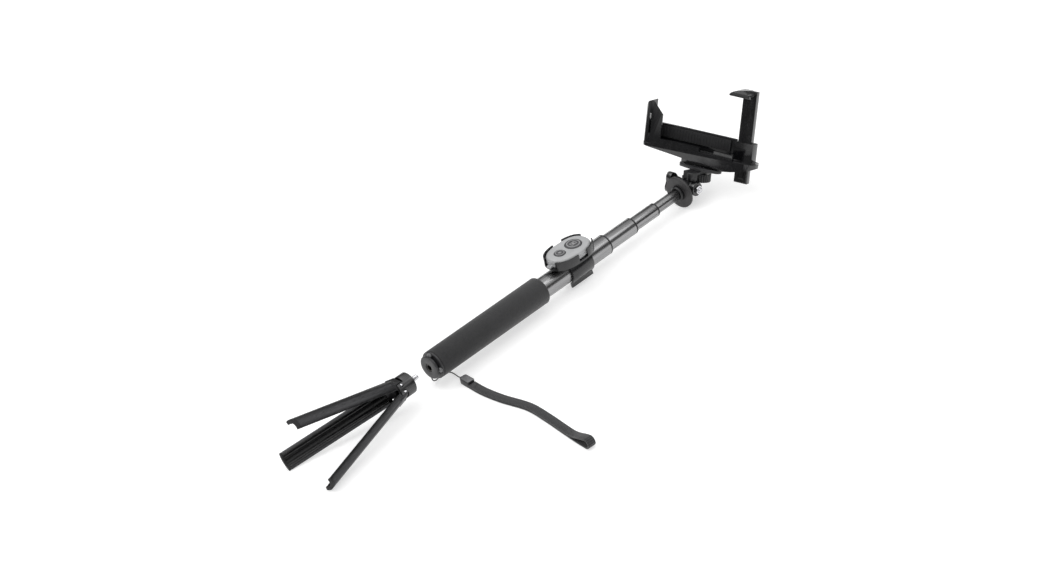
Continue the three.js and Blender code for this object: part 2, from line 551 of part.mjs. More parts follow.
const LEG_TOP = LEG_PIN.x - 7;
LEG_ANGLES.forEach((deg, i) => {
  const { out, side } = legFrame(deg);
  const b = rad(SPLAY_DEG);
  const along = V(Math.cos(b), 0, 0).addScaledVector(out, -Math.sin(b));
  const lift = out.clone().multiplyScalar(Math.cos(b)).add(V(Math.sin(b), 0, 0));
  const o = V(LEG_PIN.x, 0, 0).addScaledVector(out, LEG_PIN.r);
  // Local frame: X along the leg towards the hinge, Y outwards, Z along the pin; origin on the pin.
  const m = frame(o, along, lift, side);
  const axis = frame(o.clone().addScaledVector(lift, -LEG_PIN.r), lift, side, along);
  const end = LEG_TOP - LEG_PIN.x - TRIPOD.len;
  const start = LEG_TOP - LEG_PIN.x;
  const shellShape = [
    ...arc(0, 0, TRIPOD.r, -58, 58, 16), ...arc(0, 0, TRIPOD.rIn, 58, -58, 16),
  ];
  const shell = prism(shellShape, end, start, axis);
  const ribs = [-34, 0, 34].map((a) => prism([
    polar(TRIPOD.rIn - 1.4, a - 3), polar(TRIPOD.rIn + 0.5, a - 3),
    polar(TRIPOD.rIn + 0.5, a + 3), polar(TRIPOD.rIn - 1.4, a + 3),
  ], end + 4, start - 1, axis));
  const bridge = block(-11, 0.5, -3.4, 3.4, -KNUCKLE_HALF, KNUCKLE_HALF, m);
  const knuckle = rod(-KNUCKLE_HALF, KNUCKLE_HALF, 3.6, 20, frame(o, along, lift, side));
  const hole = pinRod(deg, LEG_PIN.rad + GAP, 12);
  node(`leg_${i + 1}`, minus(union(shell, ...ribs, bridge, knuckle), hole), METAL, 0.4, 1);
  node(`leg_pin_${i + 1}`, pinRod(deg, LEG_PIN.rad, 8.6), STEEL, 0.25, 1);
  const footShape = [
    ...arc(0, 0, TRIPOD.r, -58, 58, 16), ...arc(0, 0, TRIPOD.rIn - 1, 58, -58, 16),
  ];
  node(`foot_${i + 1}`, prism(footShape, end - 2.6, end - 0.3, axis), BLACK, 0.9);
});

// ---- lay the stick on the surface: leg tips and disc rim both touch ----
const footLow = [];
for (const { mesh } of pieces) {
  if (mesh.name.startsWith('leg_') || mesh.name.startsWith('foot_')) {
    const p = mesh.geometry.attributes.position;
    for (let i = 0; i < p.count; i += 1) {
      footLow.push([p.getX(i), p.getZ(i)]);
    }
  }
}
let pitch = 0;
for (let n = 0; n < 8; n += 1) {
  const height = ([x, z]) => z * Math.cos(pitch) - x * Math.sin(pitch);
  const tip = footLow.reduce((a, b) => (height(a) < height(b) ? a : b));
  pitch = Math.atan((-DISC.r - tip[1]) / (DISC.x1 - 0.5 - tip[0]));
}
const layDown = new THREE.Matrix4().makeRotationY(pitch);
const axisHeight = DISC.r * Math.cos(pitch) + (DISC.x1 - 0.5) * Math.sin(pitch);
for (const { mesh, loose } of pieces) {
  if (!loose) {
    mesh.geometry.applyMatrix4(layDown);
    mesh.geometry.translate(0, 0, axisHeight);
  }
}

// ---- wrist strap, lying on the surface (Z is height above it) ----
const SLIDER = { c: V(24.7, -27.7, 0), along: V(0.1145, 0.9934, 0).normalize(), half: 8.2, z: 3.6 };
const strapStart = SLIDER.c.clone().addScaledVector(SLIDER.along, -SLIDER.half - GAP);
const strapLine = new THREE.CatmullRomCurve3([
  strapStart, V(21.9, -54, 0), V(22.5, -82, 0), V(27, -120.5, 0), V(23.2, -152, 0),
  V(18, -181, 0), V(13.4, -208, 0), V(11, -227, 0),
]);
const strapLen = strapLine.getLength();
const flatLen = strapLen - STRAP.loopLen;

// Band of the webbing: path lists [distance along the strap, height] of its middle layer.
function webbing(path, thick) {
  const points = [];
  path.forEach(([s, z], i) => {
    const [sa, za] = path[Math.max(i - 1, 0)];
    const [sb, zb] = path[Math.min(i + 1, path.length - 1)];
    const len = Math.hypot(sb - sa, zb - za);
    const [ns, nz] = [-(zb - za) / len, (sb - sa) / len];
    for (const [across, up] of [[-1, -1], [1, -1], [1, 1], [-1, 1]]) {
      const d = s + (ns * up * thick) / 2;
      const k = THREE.MathUtils.clamp(d / strapLen, 0, 1);
      const c = strapLine.getPointAt(k);
      const t = strapLine.getTangentAt(k);
      const over = d - k * strapLen;
      const w = (across * STRAP.width) / 2;
      points.push(c.x + t.x * over - t.y * w, c.y + t.y * over + t.x * w, z + (nz * up * thick) / 2);
    }
  });
  const index = [];
  for (let i = 0; i + 1 < path.length; i += 1) {
    for (let k = 0; k < 4; k += 1) {
      const [a, b] = [4 * i + k, 4 * i + ((k + 1) % 4)];
      index.push(a, b, b + 4, a, b + 4, a + 4);
    }
  }
  const last = 4 * (path.length - 1);
  index.push(0, 2, 1, 0, 3, 2, last, last + 1, last + 2, last, last + 2, last + 3);
  const geo = new THREE.BufferGeometry();
  geo.setAttribute('position', new THREE.BufferAttribute(new Float32Array(points), 3));
  geo.setIndex(index);
  return solid(geo);
}

const ply = STRAP.ply;
const double = [];
for (let i = 0; i <= 22; i += 1) {
  double.push([(flatLen * i) / 22, ply + 0.1]);
}
const lobeR = (STRAP.loopTall - ply) / 2;
const lobe = arc(strapLen - lobeR - ply / 2, lobeR + ply / 2 + 0.1, lobeR, 112, -90, 16);
const loop = [
  [flatLen - 1, 1.5 * ply + 0.1], [flatLen + 6, 1.5 * ply + 0.5], [flatLen + 13, 1.5 * ply + 1.9],
  [flatLen + 20, 1.5 * ply + 4.1], [flatLen + 26, 1.5 * ply + 6.2], ...lobe,
  [flatLen + 20, ply / 2 + 0.1], [flatLen + 8, ply / 2 + 0.1], [flatLen - 1, ply / 2 + 0.1],
];
node('wrist_strap', webbing(double, 2 * ply).add(webbing(loop, ply)), 0x4b4b4d, 0.9, 0, true);

const sliderAcross = V(-SLIDER.along.y, SLIDER.along.x, 0);
const sliderM = frame(SLIDER.c, SLIDER.along, sliderAcross, V(0, 0, 1));
const sliderOut = [
  ...arc(5.6, 2.2, 2.6, 0, 90, 3), ...arc(-6.4, 3, 1.8, 90, 180, 3),
  ...arc(-6.4, -3, 1.8, 180, 270, 3), ...arc(5.6, -2.2, 2.6, 270, 360, 3),
];
const sliderHole = rod(-12, 12, STRING_R + 0.4, 12,
  frame(SLIDER.c.clone().setZ(SLIDER.z), V(0, 0, 1), sliderAcross.clone().negate(), SLIDER.along));
node('strap_slider', minus(prism(sliderOut, 0.1, 7, sliderM), sliderHole), 0x6a6b6f, 0.4, 0, true);

function alongSlider(d) {
  return SLIDER.c.clone().addScaledVector(SLIDER.along, d).setZ(SLIDER.z);
}
const stringPath = new THREE.CatmullRomCurve3([
  V(4, 4.6, axisHeight - 8.8), V(4, 5.2, axisHeight - 13.2), V(4.1, 5.6, axisHeight - 17.4),
  V(5.4, 5.8, axisHeight - 22), V(9, 6.6, 2), V(16, 8.4, 1.1), V(24, 8.4, 1.1),
  V(28.8, 4.4, 1.1), V(28.8, -3, 1.3), alongSlider(16).setZ(2.3), alongSlider(12).setZ(3.3),
  alongSlider(9), alongSlider(6), alongSlider(2.4),
], false, 'centripetal');
const stringShape = new THREE.Shape(arc(0, 0, STRING_R, 0, 315, 7).map(([x, y]) => new THREE.Vector2(x, y)));
const stringGeo = new THREE.ExtrudeGeometry(stringShape, {
  steps: 28, extrudePath: stringPath, bevelEnabled: false,
});
node('strap_string', solid(stringGeo), 0x8a8a8c, 0.8, 0, true);

// ---- origin at the bottom centre of everything except the cords ----
const bounds = new THREE.Box3();
for (const { mesh, loose } of pieces) {
  mesh.geometry.computeBoundingBox();
  if (!loose) {
    bounds.union(mesh.geometry.boundingBox);
  }
}
const shift = bounds.getCenter(V(0, 0, 0));
for (const { mesh } of pieces) {
  mesh.geometry.translate(-shift.x, -shift.y, -bounds.min.z);
  mesh.geometry.computeBoundingBox();
  mesh.geometry.computeVertexNormals();
}

export default group;
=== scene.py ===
import bpy
import json
import math
from mathutils import Matrix, Vector


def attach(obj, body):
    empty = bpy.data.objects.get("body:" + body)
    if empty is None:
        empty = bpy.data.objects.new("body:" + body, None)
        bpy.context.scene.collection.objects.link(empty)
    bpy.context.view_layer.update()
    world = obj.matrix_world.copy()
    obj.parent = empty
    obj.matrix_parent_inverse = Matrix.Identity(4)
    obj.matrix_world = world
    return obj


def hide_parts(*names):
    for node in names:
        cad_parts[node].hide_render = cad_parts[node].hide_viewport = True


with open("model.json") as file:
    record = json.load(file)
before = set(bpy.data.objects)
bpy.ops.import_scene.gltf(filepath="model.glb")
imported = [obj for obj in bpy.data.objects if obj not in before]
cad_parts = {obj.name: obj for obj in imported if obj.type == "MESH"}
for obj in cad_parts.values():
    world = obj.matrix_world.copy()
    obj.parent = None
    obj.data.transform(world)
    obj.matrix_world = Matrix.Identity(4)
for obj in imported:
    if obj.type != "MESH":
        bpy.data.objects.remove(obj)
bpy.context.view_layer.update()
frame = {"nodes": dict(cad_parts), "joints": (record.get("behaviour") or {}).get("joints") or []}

MM = 0.001
NODES = frame["nodes"]
JOINTS = {j["name"]: j for j in frame["joints"]}

# ---- frames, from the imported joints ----
AX = Vector(JOINTS["extend_2"]["axis"]).normalized()
AY = Vector((0, 1, 0))
AZ = AX.cross(AY).normalized()
TILT_X = 425.75
TILT_O = Vector(JOINTS["tilt"]["pos_m"])
STICK_O = TILT_O - AX * TILT_X * MM
UP = Vector(JOINTS["pan"]["axis"]).normalized()
PAN_O = Vector(JOINTS["pan"]["pos_m"])
FWD = (PAN_O - TILT_O).normalized()
PAN_ANGLE = math.radians(11.2)
E1 = -AY * math.cos(PAN_ANGLE) + FWD * math.sin(PAN_ANGLE)
E3 = E1.cross(UP)


def basis(o, x, y, z):
    m = Matrix.Identity(4)
    for i, v in enumerate((x, y, z, o)):
        m[0][i], m[1][i], m[2][i] = v
    return m


AXIAL = basis(STICK_O, AY, AZ, AX)
CRADLE = basis(PAN_O, E1, E3, UP)
TILT = basis(TILT_O, UP, -FWD, AY)
FLOOR = basis(Vector((STICK_O.x, STICK_O.y, 0)), Vector((1, 0, 0)), AY, Vector((0, 0, 1)))


def at(m, x, y, z):
    return m @ Vector((x * MM, y * MM, z * MM))


# ---- camera ----
cam = bpy.data.objects.new("camera", bpy.data.cameras.new("camera"))
bpy.context.scene.collection.objects.link(cam)
bpy.context.scene.camera = cam
LENS_MM, SENSOR_MM, FAR_CLIP = 78.43, 36, 50
cam.data.lens = LENS_MM
cam.data.sensor_width = SENSOR_MM
cam.data.clip_end = FAR_CLIP
cam.matrix_world = basis(
    Vector((-1.34998, -1.6654, 1.38442)), Vector((0.687217, -0.702704, -0.18423)),
    Vector((0.494939, 0.267265, 0.826804)), Vector((-0.53176, -0.659376, 0.531465)))

# ---- materials ----


def tree(name):
    m = bpy.data.materials.new(name)
    m.use_nodes = True
    t = m.node_tree
    return m, t, t.nodes["Principled BSDF"]


def link(t, a, b):
    t.links.new(a, b)


def coords(t, stretch=(1, 1, 1), uv=False):
    c = t.nodes.new("ShaderNodeTexCoord")
    p = t.nodes.new("ShaderNodeMapping")
    p.inputs["Scale"].default_value = stretch
    link(t, c.outputs["UV" if uv else "Object"], p.inputs["Vector"])
    return p.outputs["Vector"]


def noise(t, vec, scale, detail=3.0, rough=0.55):
    n = t.nodes.new("ShaderNodeTexNoise")
    n.inputs["Scale"].default_value = scale
    n.inputs["Detail"].default_value = detail
    n.inputs["Roughness"].default_value = rough
    link(t, vec, n.inputs["Vector"])
    return n.outputs["Fac"]


def remap(t, fac, lo, hi, a=0.3, b=0.7):
    r = t.nodes.new("ShaderNodeMapRange")
    r.inputs["From Min"].default_value = a
    r.inputs["From Max"].default_value = b
    r.inputs["To Min"].default_value = lo
    r.inputs["To Max"].default_value = hi
    link(t, fac, r.inputs["Value"])
    return r.outputs["Result"]


def two_tone(t, fac, dark, light):
    r = t.nodes.new("ShaderNodeValToRGB")
    r.color_ramp.elements[0].position = 0.3
    r.color_ramp.elements[1].position = 0.7
    r.color_ramp.elements[0].color = (*dark, 1)
    r.color_ramp.elements[1].color = (*light, 1)
    link(t, fac, r.inputs["Fac"])
    return r.outputs["Color"]


def bump(t, height, strength, distance, below=None):
    b = t.nodes.new("ShaderNodeBump")
    b.inputs["Strength"].default_value = strength
    b.inputs["Distance"].default_value = distance
    link(t, height, b.inputs["Height"])
    if below is not None:
        link(t, below, b.inputs["Normal"])
    return b.outputs["Normal"]


def shade(c, k):
    return tuple(min(1.0, v * k) for v in c)


def plastic(name, colour, rough, grain=1500, depth=0.15, spread=0.16, coat=0.0):
    m, t, b = tree(name)
    vec = coords(t)
    tone = noise(t, vec, 60, 4)
    link(t, two_tone(t, tone, shade(colour, 1 - spread), shade(colour, 1 + spread)),
         b.inputs["Base Color"])
    link(t, remap(t, noise(t, vec, 140, 5), rough - 0.06, rough + 0.08), b.inputs["Roughness"])
    link(t, bump(t, noise(t, vec, grain, 2), depth, 0.0002), b.inputs["Normal"])
    b.inputs["Coat Weight"].default_value = coat
    b.inputs["Coat Roughness"].default_value = 0.12
    return m


def brushed(name, colour, rough, along, spread=0.22, aniso=0.55):
    m, t, b = tree(name)
    stretch = tuple(6 if k == along else 900 for k in range(3))
    vec = coords(t, stretch)
    lines = noise(t, vec, 1.0, 4, 0.65)
    link(t, two_tone(t, lines, shade(colour, 1 - spread), shade(colour, 1 + spread)),
         b.inputs["Base Color"])
    link(t, remap(t, lines, rough - 0.07, rough + 0.09), b.inputs["Roughness"])
    link(t, bump(t, lines, 0.12, 0.0001), b.inputs["Normal"])
    b.inputs["Metallic"].default_value = 1.0
    b.inputs["Anisotropic"].default_value = aniso
    return m


def foam(name, colour):
    m, t, b = tree(name)
    vec = coords(t)
    cells = t.nodes.new("ShaderNodeTexVoronoi")
    cells.inputs["Scale"].default_value = 1400
    link(t, vec, cells.inputs["Vector"])
    tone = noise(t, vec, 45, 5)
    link(t, two_tone(t, tone, shade(colour, 0.86), shade(colour, 1.12)), b.inputs["Base Color"])
    link(t, remap(t, noise(t, vec, 400, 4), 0.86, 0.98), b.inputs["Roughness"])
    soft = bump(t, noise(t, vec, 180, 4), 0.3, 0.0006)
    link(t, bump(t, cells.outputs["Distance"], 0.35, 0.0004, soft), b.inputs["Normal"])
    b.inputs["Sheen Weight"].default_value = 0.25
    b.inputs["Sheen Roughness"].default_value = 0.5
    return m


def wave(t, vec, scale, direction="X"):
    w = t.nodes.new("ShaderNodeTexWave")
    w.bands_direction = direction
    w.inputs["Scale"].default_value = scale
    link(t, vec, w.inputs["Vector"])
    return w.outputs["Fac"]


def join(t, a, b, how="MULTIPLY"):
    n = t.nodes.new("ShaderNodeMath")
    n.operation = how
    link(t, a, n.inputs[0])
    link(t, b, n.inputs[1])
    return n.outputs[0]


def woven(name, colour, along, across):
    """Webbing: the map runs in millimetres along and across the band."""
    m, t, b = tree(name)
    vec = coords(t, uv=True)
    picks = wave(t, vec, along, "X")
    ends = wave(t, vec, across, "Y")
    weave = join(t, picks, ends)
    fuzz = noise(t, vec, 3, 4)
    tone = join(t, weave, fuzz, "ADD")
    link(t, two_tone(t, remap(t, tone, 0, 1, 0.3, 1.4), shade(colour, 0.55), shade(colour, 1.35)),
         b.inputs["Base Color"])
    link(t, remap(t, fuzz, 0.78, 0.95), b.inputs["Roughness"])
    link(t, bump(t, weave, 0.75, 0.0005), b.inputs["Normal"])
    b.inputs["Sheen Weight"].default_value = 0.35
    b.inputs["Sheen Roughness"].default_value = 0.4
    return m


M = {
    "foam": foam("m_foam", (0.019, 0.019, 0.02)),
    "grey": plastic("m_grey_plastic", (0.022, 0.022, 0.024), 0.42, coat=0.1),
    "disc": plastic("m_disc", (0.028, 0.027, 0.028), 0.5),
    "black": plastic("m_black_plastic", (0.008, 0.008, 0.009), 0.4),
    "gloss": plastic("m_gloss_black", (0.0045, 0.0045, 0.0052), 0.2, 700, 0.06, 0.2, 0.5),
    "tube": brushed("m_tube", (0.29, 0.29, 0.293), 0.24, 0),
    "leg": brushed("m_leg", (0.05, 0.05, 0.052), 0.36, 0, 0.3, 0.4),
    # near-black liner colour: partly painted shade for the hollow inside the legs
    "liner_painted_shade": plastic("m_liner_painted_shade", (0.005, 0.005, 0.0055), 0.24),
    "collar": brushed("m_collar", (0.085, 0.085, 0.086), 0.3, 0),
    "steel": brushed("m_steel", (0.7, 0.7, 0.72), 0.14, 1, 0.08, 0.2),
    "dark_steel": brushed("m_dark_steel", (0.06, 0.058, 0.055), 0.3, 1, 0.12, 0.2),
    "remote": plastic("m_remote", (0.4, 0.405, 0.41), 0.38, 1800, 0.1, 0.05, 0.15),
    "button": plastic("m_button", (0.06, 0.06, 0.064), 0.4, 1800, 0.08, 0.08),
    "icon": plastic("m_icon", (0.3, 0.3, 0.305), 0.45, 1800, 0.05, 0.04),
    "rubber": plastic("m_rubber", (0.01, 0.01, 0.011), 0.75, 1100, 0.5),
    "board": plastic("m_board", (0.02, 0.12, 0.05), 0.4),
    "clip": plastic("m_clip", (0.007, 0.007, 0.008), 0.24, 700, 0.06, 0.14, 0.2),
    # light grey dome colour: partly painted highlight for the bright spots on the cap's pins
    "dome": plastic("m_dome_painted_highlight", (0.12, 0.12, 0.123), 0.3, 1500, 0.1, 0.1, 0.3),
    "slider": plastic("m_slider", (0.15, 0.15, 0.154), 0.4),
    "webbing": woven("m_webbing", (0.036, 0.036, 0.038), 0.16, 0.3),
    "thread": plastic("m_thread", (0.11, 0.11, 0.113), 0.8, 2400, 0.5),
    "string": woven("m_string", (0.2, 0.2, 0.2), 0.5, 0.6),
}

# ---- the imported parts: rounded edges, smooth turned faces and their materials ----


SHARP_DEG = 32
BEVEL_DEG = 35


def smoother():
    g = bpy.data.node_groups.new("smooth_by_angle", "GeometryNodeTree")
    g.interface.new_socket("Geometry", in_out="INPUT", socket_type="NodeSocketGeometry")
    g.interface.new_socket("Geometry", in_out="OUTPUT", socket_type="NodeSocketGeometry")
    i = g.nodes.new("NodeGroupInput")
    o = g.nodes.new("NodeGroupOutput")
    drop = g.nodes.new("GeometryNodeRemoveAttribute")
    drop.inputs["Name"].default_value = "custom_normal"
    face = g.nodes.new("GeometryNodeSetShadeSmooth")
    face.domain = "FACE"
    edge = g.nodes.new("GeometryNodeSetShadeSmooth")
    edge.domain = "EDGE"
    edge.inputs["Shade Smooth"].default_value = False
    angle = g.nodes.new("GeometryNodeInputMeshEdgeAngle")
    over = g.nodes.new("FunctionNodeCompare")
    over.data_type = "FLOAT"
    over.operation = "GREATER_THAN"
    over.inputs[1].default_value = math.radians(SHARP_DEG)
    g.links.new(i.outputs[0], drop.inputs[0])
    g.links.new(drop.outputs[0], face.inputs[0])
    g.links.new(face.outputs[0], edge.inputs[0])
    g.links.new(angle.outputs["Unsigned Angle"], over.inputs[0])
    g.links.new(over.outputs[0], edge.inputs["Selection"])
    g.links.new(edge.outputs[0], o.inputs[0])
    return g


SMOOTH = smoother()
WELD_M = 0.00001


def finish_edges(o, width, segments=2):
    if width:
        w = o.modifiers.new("weld", "WELD")
        w.merge_threshold = WELD_M
        b = o.modifiers.new("bevel", "BEVEL")
        b.width = width * MM
        b.segments = segments
        b.limit_method = "ANGLE"
        b.angle_limit = math.radians(BEVEL_DEG)
        b.use_clamp_overlap = True
        b.miter_outer = "MITER_ARC"
    s = o.modifiers.new("smooth", "NODES")
    s.node_group = SMOOTH


LOOK = {
    "end_cap": ("grey", 0.3), "thread_insert": ("dark_steel", 0.2), "foam_grip": ("foam", 0.5),
    "outer_tube": ("tube", 0.15), "tube_2": ("tube", 0.15), "tube_3": ("tube", 0.12),
    "tube_4": ("tube", 0.12), "mouth_bush_1": ("black", 0.3), "mouth_bush_2": ("black", 0.3),
    "mouth_bush_3": ("black", 0.3), "tail_guide_2": ("black", 0.15), "tail_guide_3": ("black", 0.15),
    "tail_guide_4": ("black", 0.15), "hub_collar": ("black", 0.3), "platform_disc": ("disc", 0.4),
    "hinge_base": ("grey", 0.4), "hinge_neck": ("black", 0.5), "tilt_boss": ("gloss", 0.4),
    "tilt_nut": ("steel", 0.3), "tilt_bolt": ("steel", 0.2), "tilt_knob": ("gloss", 0.8),
    "thumb_wheel": ("black", 0.25), "cradle_screw": ("steel", 0.2), "mount_plate": ("grey", 0.5),
    "plate_screw_1": ("steel", 0.15), "plate_screw_2": ("steel", 0.15),
    "cradle_base": ("gloss", 0.6), "floor_pad": ("rubber", 0.3), "arm_pad": ("rubber", 0.3),
    "back_pad": ("rubber", 0.3), "clamp_post": ("gloss", 0.6), "hook_pad": ("rubber", 0.3),
    "tube_clip": ("clip", 0.3), "remote_cup": ("clip", 0.3), "remote_top": ("remote", 0.25),
    "remote_bottom": ("remote", 0.25), "big_button": ("button", 0.3), "small_button": ("button", 0.3),
    "circuit_board": ("board", 0.1), "coin_cell": ("steel", 0.1), "tripod_collar": ("collar", 0.4),
    "tripod_stud": ("steel", 0.2), "leg_1": ("leg", 0.25), "leg_2": ("leg", 0.25),
    "leg_3": ("leg", 0.25), "leg_pin_1": ("steel", 0.2), "leg_pin_2": ("steel", 0.2),
    "leg_pin_3": ("steel", 0.2), "foot_1": ("rubber", 0.3), "foot_2": ("rubber", 0.3),
    "foot_3": ("rubber", 0.3), "strap_slider": ("black", 0.6), "wrist_strap": ("webbing", 0),
    "strap_string": ("string", 0),
}
for n, (look, width) in LOOK.items():
    o = NODES[n]
    o.data.materials.clear()
    o.data.materials.append(M[look])
    finish_edges(o, width)

# ---- pieces made here ----


def piece(name, points, faces, look, body, replaces=(), edges=0.0, uvs=None):
    me = bpy.data.meshes.new(name)
    me.from_pydata([tuple(p) for p in points], [], faces)
    me.materials.append(M[look])
    if uvs:
        layer = me.uv_layers.new(name="map")
        for loop in me.loops:
            layer.data[loop.index].uv = uvs[loop.vertex_index]
    me.update()
    o = bpy.data.objects.new(name, me)
    bpy.context.scene.collection.objects.link(o)
    finish_edges(o, edges)
    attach(o, body)
    if replaces:
        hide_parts(*replaces)
    return o


def grid_faces(rows, cols, closed=True):
    out = []
    for i in range(rows - 1):
        for k in range(cols if closed else cols - 1):
            a, b = i * cols + k, i * cols + (k + 1) % cols
            out.append((a, b, b + cols, a + cols))
    return out


def capped(rows, cols):
    last = (rows - 1) * cols
    return grid_faces(rows, cols) + [tuple(range(cols))[::-1], tuple(range(last, last + cols))]


# ---- wrist strap and its string (the cords) ----
SLIDER_C = Vector((24.7, -27.7))
SLIDER_D = Vector((0.1145, 0.9934)).normalized()
SLIDER_HALF = 8.2
strap_start = SLIDER_C - SLIDER_D * (SLIDER_HALF + 0.3)
STRAP_KNOTS = [tuple(strap_start), (21.9, -54), (22.5, -82), (27, -120.5), (23.2, -152), (18, -181),
               (13.4, -208), (11, -227)]
PLY = 2.1
LOOP_LEN = 40.0
LOOP_TALL = 12.0
LOW_PLY = 1.15
HIGH_PLY = 3.25
FLAT_STEPS = 40


def catmull(points, n):
    """Centripetal curve through the points, n steps a span."""
    pts = [Vector(p) for p in points]
    pts = [2 * pts[0] - pts[1]] + pts + [2 * pts[-1] - pts[-2]]
    out = []
    for i in range(1, len(pts) - 2):
        p0, p1, p2, p3 = pts[i - 1:i + 3]
        t0 = 0.0
        t1 = t0 + (p1 - p0).length ** 0.5
        t2 = t1 + (p2 - p1).length ** 0.5
        t3 = t2 + (p3 - p2).length ** 0.5
        for k in range(n + (i == len(pts) - 3)):
            t = t1 + (t2 - t1) * k / n
            a1 = p0 * ((t1 - t) / (t1 - t0)) + p1 * ((t - t0) / (t1 - t0))
            a2 = p1 * ((t2 - t) / (t2 - t1)) + p2 * ((t - t1) / (t2 - t1))
            a3 = p2 * ((t3 - t) / (t3 - t2)) + p3 * ((t - t2) / (t3 - t2))
            b1 = a1 * ((t2 - t) / (t2 - t0)) + a2 * ((t - t0) / (t2 - t0))
            b2 = a2 * ((t3 - t) / (t3 - t1)) + a3 * ((t - t1) / (t3 - t1))
            out.append(b1 * ((t2 - t) / (t2 - t1)) + b2 * ((t - t1) / (t2 - t1)))
    return out


strap_line = catmull([(x, y, 0) for x, y in STRAP_KNOTS], 24)
run = [0.0]
for a, b in zip(strap_line, strap_line[1:]):
    run.append(run[-1] + (b - a).length)
STRAP_LEN = run[-1]


def along_strap(s):
    """Point on the surface and heading, s millimetres from the slider."""
    s = max(0.0, min(STRAP_LEN, s))
    i = max(k for k in range(len(run) - 1) if run[k] <= s)
    f = (s - run[i]) / (run[i + 1] - run[i])
    lo, hi = max(i - 1, 0), min(i + 2, len(run) - 1)
    return strap_line[i].lerp(strap_line[i + 1], f), (strap_line[hi] - strap_line[lo]).normalized()


def strap_point(s, w, z):
    c, d = along_strap(s)
    over = s - max(0.0, min(STRAP_LEN, s))
    return at(FLOOR, c.x + d.x * over - d.y * w, c.y + d.y * over + d.x * w, z)


flat_len = STRAP_LEN - LOOP_LEN
lobe_r = (LOOP_TALL - PLY) / 2
lobe = [(STRAP_LEN - lobe_r - PLY / 2 + lobe_r * math.cos(math.radians(a)),
         lobe_r + PLY / 2 + 0.1 + lobe_r * math.sin(math.radians(a))) for a in range(100, -91, -10)]
ROUTE = [(s * flat_len / FLAT_STEPS, HIGH_PLY) for s in range(FLAT_STEPS + 1)]
ROUTE += [(flat_len + 6, 3.6), (flat_len + 13, 5), (flat_len + 20, 7.2), (flat_len + 26, 9.2)]
ROUTE += lobe + [(flat_len + 20, LOW_PLY), (flat_len + 8, LOW_PLY)]
ROUTE += [(flat_len - s * flat_len / FLAT_STEPS, LOW_PLY) for s in range(FLAT_STEPS + 1)]
ROUTE = [Vector((s, z, 0)) for s, z in ROUTE]
fine = catmull(ROUTE, 3)
PROFILE = [(-5, -0.55), (-4.75, -0.9), (-4.1, -1.0), (-2, -0.98), (0, -1.0), (2, -0.98), (4.1, -1.0),
           (4.75, -0.9), (5, -0.55), (5, 0.55), (4.75, 0.9), (4.1, 1.0), (3.7, 0.86), (3.3, 1.0),
           (0, 1.0), (-3.3, 1.0), (-3.7, 0.86), (-4.1, 1.0), (-4.75, 0.9), (-5, 0.55)]
points, uvs, gone = [], [], 0.0
for i, p in enumerate(fine):
    a, b = fine[max(i - 1, 0)], fine[min(i + 1, len(fine) - 1)]
    d = (b - a).normalized()
    gone += (p - fine[i - 1]).length if i else 0.0
    for w, h in PROFILE:
        points.append(strap_point(p.x - d.y * h, w, p.y + d.x * h))
        uvs.append((gone, w))
strap = piece("strap_webbing", points, capped(len(fine), len(PROFILE)), "webbing", "handle",
              ["wrist_strap"], uvs=uvs)


STRING_HEIGHT = 3.6


def along_slider(d, z=STRING_HEIGHT):
    p = SLIDER_C + SLIDER_D * d
    return (p.x, p.y, z)


CAP_AXIS = STICK_O.z / MM
STRING_KNOTS = [(4, 4.6, CAP_AXIS - 8.8), (4, 5.2, CAP_AXIS - 13.2), (4.1, 5.6, CAP_AXIS - 17.4),
                (5.4, 5.8, CAP_AXIS - 22), (9, 6.6, 2), (16, 8.4, 1.1), (24, 8.4, 1.1),
                (28.8, 4.4, 1.1), (28.8, -3, 1.3), along_slider(16, 2.3), along_slider(12, 3.3),
                along_slider(9), along_slider(6), along_slider(2.4)]
string_line = [at(FLOOR, *p) for p in catmull(STRING_KNOTS, 5)]
STRING_R = 0.7
STRANDS = 10
STRAND_STEP = 0.44
STRAND_TWIST = 0.6
points, uvs, gone = [], [], 0.0
side = Vector((0, 1, 0))
for i, p in enumerate(string_line):
    a, b = string_line[max(i - 1, 0)], string_line[min(i + 1, len(string_line) - 1)]
    d = (b - a).normalized()
    side = (side - d * side.dot(d)).normalized()
    up = d.cross(side)
    gone += (p - string_line[i - 1]).length / MM if i else 0.0
    for k in range(STRANDS):
        t = 2 * math.pi * k / STRANDS
        points.append(p + (side * math.cos(t) + up * math.sin(t)) * STRING_R * MM)
        uvs.append((gone, k * STRAND_STEP + gone * STRAND_TWIST))
string = piece("string_braid", points, capped(len(string_line), STRANDS), "string", "handle",
               ["strap_string"], uvs=uvs)


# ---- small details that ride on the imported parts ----


def lathe(name, m, profile, count, look, body):
    """A profile of (height, radius) turned about the frame's z axis: a ring if it ends where it starts."""
    points = []
    for z, r in profile:
        for k in range(count):
            t = 2 * math.pi * k / count
            points.append(at(m, r * math.cos(t), r * math.sin(t), z))
    rows = len(profile)
    faces = grid_faces(rows, count)
    if profile[0] == profile[-1]:
        points = points[:-count]
        faces = [tuple(v % len(points) for v in f) for f in faces]
    else:
        faces = capped(rows, count)
    return piece(name, points, faces, look, body)


